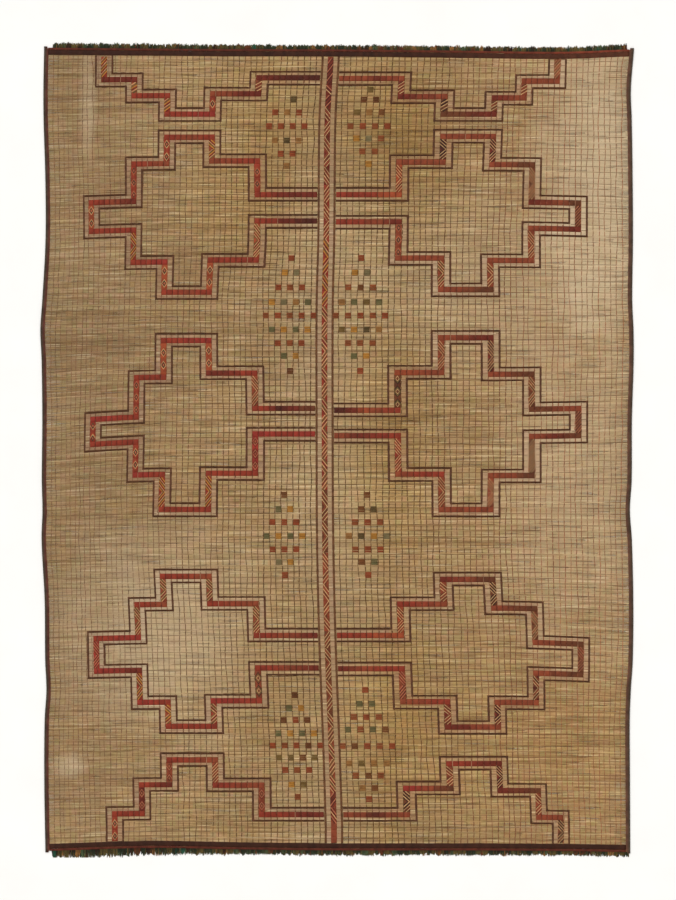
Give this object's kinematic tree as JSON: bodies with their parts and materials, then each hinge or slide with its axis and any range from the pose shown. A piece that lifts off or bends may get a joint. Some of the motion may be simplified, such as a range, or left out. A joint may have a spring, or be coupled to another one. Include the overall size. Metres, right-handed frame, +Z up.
{
  "type": "reed and leather floor mat",
  "caption": "Flat reed floor mat laced with leather thongs, with a leather spine, stepped leather loops on both sides, bound long edges and short fringes at the ends.",
  "frame": {"origin": "middle of the mat's box, on the floor it lies on", "axes": "+Z up from the floor, +Y along the mat's length towards its top end as pictured, +X to the right across the reeds' length"},
  "size_m": [3.3176, 4.558, 0.0053],
  "materials": {
    "reed": "dry split reed stems, matt with a faint sheen along each stem, straw to brown, stained yellow in places",
    "red_leather": "worn red goat leather with laced green, cream and orange strands on the risers",
    "dark_leather": "narrow twisted strip of dark brown leather, slightly polished by wear",
    "end_leather": "dark purple-brown leather, satin",
    "side_leather": "dark folded leather with a purple-red inner edge, matt, with stitches",
    "fringe_leather": "short cut leather locks, dark olive with brown, tan and teal ones, matt"
  },
  "bodies": {
    "root": {"reed_field": "reed", "side_binding_left": "side_leather", "side_binding_right": "side_leather", "end_piping_top": "red_leather", "end_piping_bottom": "red_leather", "end_band_top": "end_leather", "end_band_bottom": "end_leather", "fringe_top": "fringe_leather", "fringe_bottom": "fringe_leather", "spine_band": "red_leather", "spine_line_left": "dark_leather", "spine_line_right": "dark_leather", "loop_left_0_band": "red_leather", "loop_left_0_line_out": "dark_leather", "loop_left_0_line_in": "dark_leather", "loop_left_1_band": "red_leather", "loop_left_1_line_out": "dark_leather", "loop_left_1_line_in": "dark_leather", "loop_left_2_band": "red_leather", "loop_left_2_line_out": "dark_leather", "loop_left_2_line_in": "dark_leather", "loop_left_3_band": "red_leather", "loop_left_3_line_out": "dark_leather", "loop_left_3_line_in": "dark_leather", "loop_left_4_band": "red_leather", "loop_left_4_line_out": "dark_leather", "loop_left_4_line_in": "dark_leather", "loop_right_0_band": "red_leather", "loop_right_0_line_out": "dark_leather", "loop_right_0_line_in": "dark_leather", "loop_right_1_band": "red_leather", "loop_right_1_line_out": "dark_leather", "loop_right_1_line_in": "dark_leather", "loop_right_2_band": "red_leather", "loop_right_2_line_out": "dark_leather", "loop_right_2_line_in": "dark_leather", "loop_right_3_band": "red_leather", "loop_right_3_line_out": "dark_leather", "loop_right_3_line_in": "dark_leather", "loop_right_4_band": "red_leather", "loop_right_4_line_out": "dark_leather", "loop_right_4_line_in": "dark_leather"}
  },
  "joints": []
}
